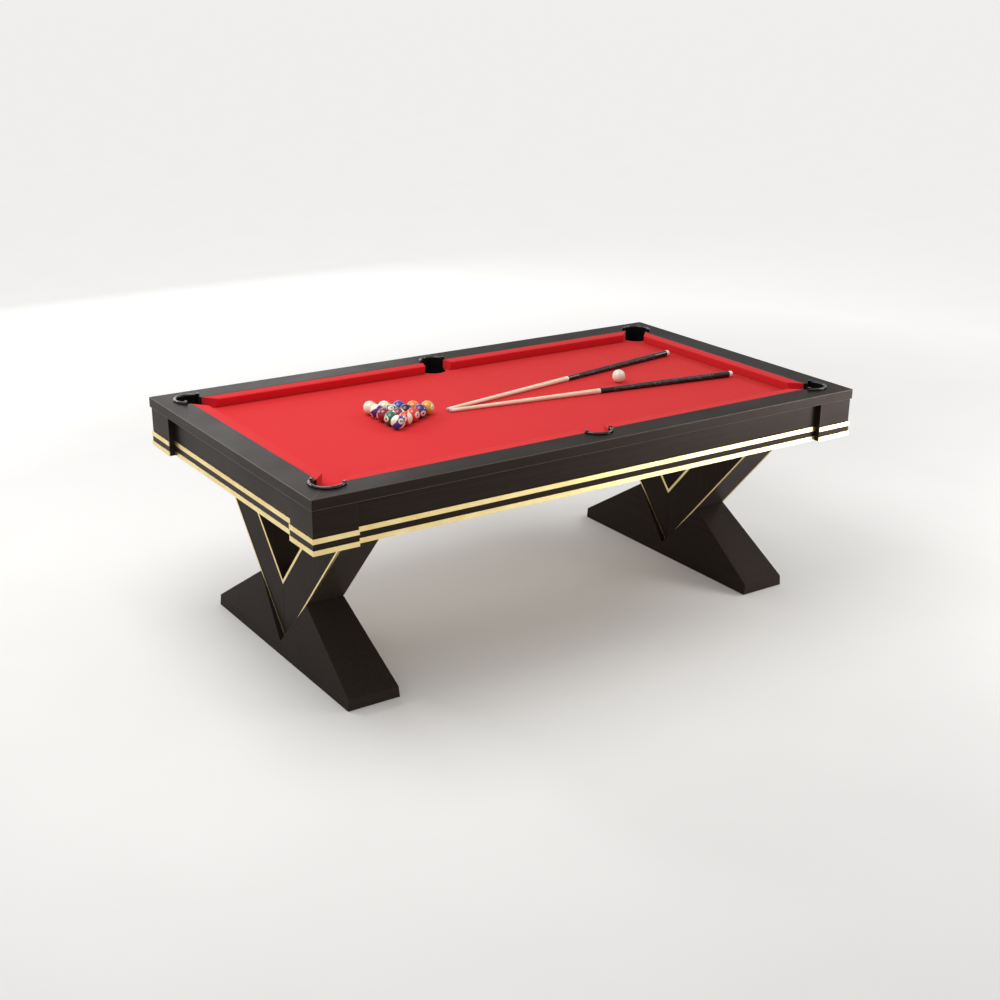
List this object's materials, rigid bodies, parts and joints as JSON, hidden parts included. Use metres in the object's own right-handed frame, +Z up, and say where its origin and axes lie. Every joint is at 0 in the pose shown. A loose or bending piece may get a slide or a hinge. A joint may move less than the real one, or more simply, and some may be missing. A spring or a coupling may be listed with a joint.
{
  "type": "pool table",
  "caption": "Six-pocket pool table with a red cloth, dark lacquered rails and aprons with gold strips, V-shaped pedestals, racked balls, cue ball and cues.",
  "frame": {"origin": "on the floor, under the middle of the table", "axes": "+X along the long side, towards the end with the cue ball and the cue butts; +Y across, away from the front long side; +Z up"},
  "size_m": [2.27, 1.28, 0.8238],
  "materials": {
    "lacquer": "satin black-brown lacquer on wood",
    "cloth": "bright red napped wool cloth",
    "gold": "brushed pale gold metal strip",
    "pocket_rubber": "glossy black moulded rubber",
    "bed_board": "plain pressed board",
    "timber": "planed softwood",
    "resin_yellow": "polished cast resin",
    "resin_blue": "polished cast resin",
    "resin_red": "polished cast resin",
    "resin_purple": "polished cast resin",
    "resin_orange": "polished cast resin",
    "resin_green": "polished cast resin",
    "resin_maroon": "polished cast resin",
    "resin_black": "polished cast resin",
    "resin_ivory": "polished cast resin",
    "cue_wood": "varnished maple shaft with a dark butt"
  },
  "bodies": {
    "table": {"bed_board": "bed_board", "bed_cloth": "cloth", "cushion_front_1": "cloth", "cushion_front_2": "cloth", "cushion_right": "cloth", "cushion_back_1": "cloth", "cushion_back_2": "cloth", "cushion_left": "cloth", "rail_front": "lacquer", "apron_front": "lacquer", "trim_front": "gold", "rail_right": "lacquer", "apron_right": "lacquer", "trim_right": "gold", "rail_back": "lacquer", "apron_back": "lacquer", "trim_back": "gold", "rail_left": "lacquer", "apron_left": "lacquer", "trim_left": "gold", "corner_block_front_left": "lacquer", "corner_trim_front_left": "gold", "corner_block_front_right": "lacquer", "corner_trim_front_right": "gold", "corner_block_back_right": "lacquer", "corner_trim_back_right": "gold", "corner_block_back_left": "lacquer", "corner_trim_back_left": "gold", "pocket_front_left": "pocket_rubber", "pocket_front_right": "pocket_rubber", "pocket_back_right": "pocket_rubber", "pocket_back_left": "pocket_rubber", "pocket_front_middle": "pocket_rubber", "pocket_back_middle": "pocket_rubber", "foot_left": "lacquer", "arm_left_front": "lacquer", "arm_left_back": "lacquer", "beam_left": "timber", "foot_right": "lacquer", "arm_right_front": "lacquer", "arm_right_back": "lacquer", "beam_right": "timber"},
    "ball_1": {"ball_1": "resin_yellow"},
    "ball_2": {"ball_2": "resin_blue"},
    "ball_3": {"ball_3": "resin_red"},
    "ball_4": {"ball_4": "resin_purple"},
    "ball_5": {"ball_5": "resin_orange"},
    "ball_6": {"ball_6": "resin_green"},
    "ball_7": {"ball_7": "resin_maroon"},
    "ball_8": {"ball_8": "resin_black"},
    "ball_9": {"ball_9": "resin_yellow"},
    "ball_10": {"ball_10": "resin_blue"},
    "ball_11": {"ball_11": "resin_red"},
    "ball_12": {"ball_12": "resin_purple"},
    "ball_13": {"ball_13": "resin_orange"},
    "ball_14": {"ball_14": "resin_green"},
    "ball_15": {"ball_15": "resin_maroon"},
    "cue_ball": {"cue_ball": "resin_ivory"},
    "cue_1": {"cue_1": "cue_wood"},
    "cue_2": {"cue_2": "cue_wood"}
  },
  "joints": [
    {"name": "ball_1_lift", "type": "slide", "parent": "table", "child": "ball_1", "axis": [0, 0, 1], "range_m": [0, 0.15]},
    {"name": "ball_2_lift", "type": "slide", "parent": "table", "child": "ball_2", "axis": [0, 0, 1], "range_m": [0, 0.15]},
    {"name": "ball_3_lift", "type": "slide", "parent": "table", "child": "ball_3", "axis": [0, 0, 1], "range_m": [0, 0.15]},
    {"name": "ball_4_lift", "type": "slide", "parent": "table", "child": "ball_4", "axis": [0, 0, 1], "range_m": [0, 0.15]},
    {"name": "ball_5_lift", "type": "slide", "parent": "table", "child": "ball_5", "axis": [0, 0, 1], "range_m": [0, 0.15]},
    {"name": "ball_6_lift", "type": "slide", "parent": "table", "child": "ball_6", "axis": [0, 0, 1], "range_m": [0, 0.15]},
    {"name": "ball_7_lift", "type": "slide", "parent": "table", "child": "ball_7", "axis": [0, 0, 1], "range_m": [0, 0.15]},
    {"name": "ball_8_lift", "type": "slide", "parent": "table", "child": "ball_8", "axis": [0, 0, 1], "range_m": [0, 0.15]},
    {"name": "ball_9_lift", "type": "slide", "parent": "table", "child": "ball_9", "axis": [0, 0, 1], "range_m": [0, 0.15]},
    {"name": "ball_10_lift", "type": "slide", "parent": "table", "child": "ball_10", "axis": [0, 0, 1], "range_m": [0, 0.15]},
    {"name": "ball_11_lift", "type": "slide", "parent": "table", "child": "ball_11", "axis": [0, 0, 1], "range_m": [0, 0.15]},
    {"name": "ball_12_lift", "type": "slide", "parent": "table", "child": "ball_12", "axis": [0, 0, 1], "range_m": [0, 0.15]},
    {"name": "ball_13_lift", "type": "slide", "parent": "table", "child": "ball_13", "axis": [0, 0, 1], "range_m": [0, 0.15]},
    {"name": "ball_14_lift", "type": "slide", "parent": "table", "child": "ball_14", "axis": [0, 0, 1], "range_m": [0, 0.15]},
    {"name": "ball_15_lift", "type": "slide", "parent": "table", "child": "ball_15", "axis": [0, 0, 1], "range_m": [0, 0.15]},
    {"name": "cue_ball_lift", "type": "slide", "parent": "table", "child": "cue_ball", "axis": [0, 0, 1], "range_m": [0, 0.15]},
    {"name": "cue_1_lift", "type": "slide", "parent": "table", "child": "cue_1", "axis": [0, 0, 1], "range_m": [0, 0.2]},
    {"name": "cue_2_lift", "type": "slide", "parent": "table", "child": "cue_2", "axis": [0, 0, 1], "range_m": [0, 0.2]}
  ]
}
